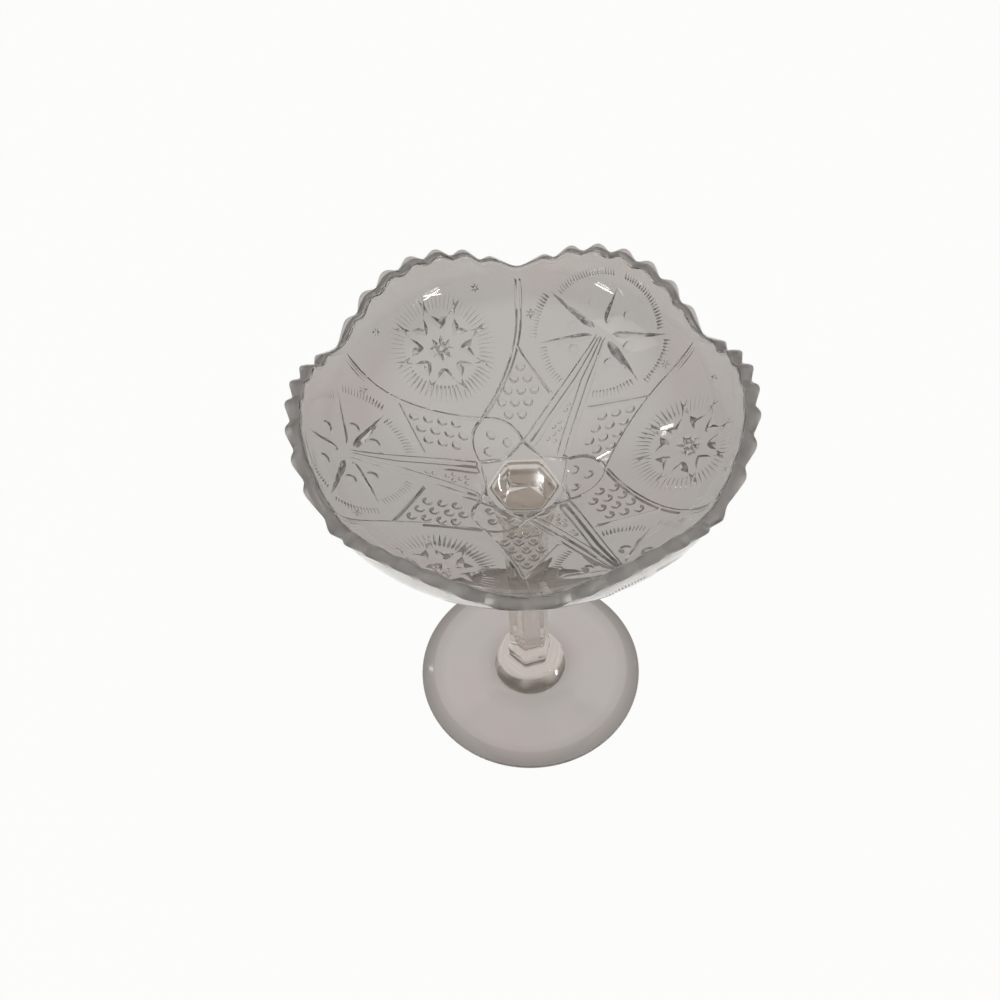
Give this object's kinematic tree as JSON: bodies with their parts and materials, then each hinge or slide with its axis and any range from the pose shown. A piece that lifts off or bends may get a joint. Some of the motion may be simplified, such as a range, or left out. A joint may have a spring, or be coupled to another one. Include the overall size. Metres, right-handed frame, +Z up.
{
  "type": "footed candy dish",
  "caption": "Tall footed candy dish of pressed glass: a shallow bowl with a scalloped, toothed rim on a faceted stem and a round foot.",
  "frame": {"origin": "centre of the foot, on the surface that the dish stands on", "axes": "+Z up along the stem, -Y towards the viewer of the picture, +X to the viewer's right; a notch of the rim points along -Y and a lobe along +X"},
  "size_m": [0.1796, 0.1754, 0.2107],
  "materials": {
    "bowl_glass": "clear pressed glass with a faint warm grey, fire polished",
    "stem_glass": "clear pressed glass with a faint warm grey, fire polished",
    "foot_glass": "clear pressed glass with a faint warm grey, fire polished"
  },
  "bodies": {
    "root": {"bowl": "bowl_glass", "upper_collar": "stem_glass", "stem": "stem_glass", "lower_collar": "stem_glass", "foot": "foot_glass"}
  },
  "joints": []
}
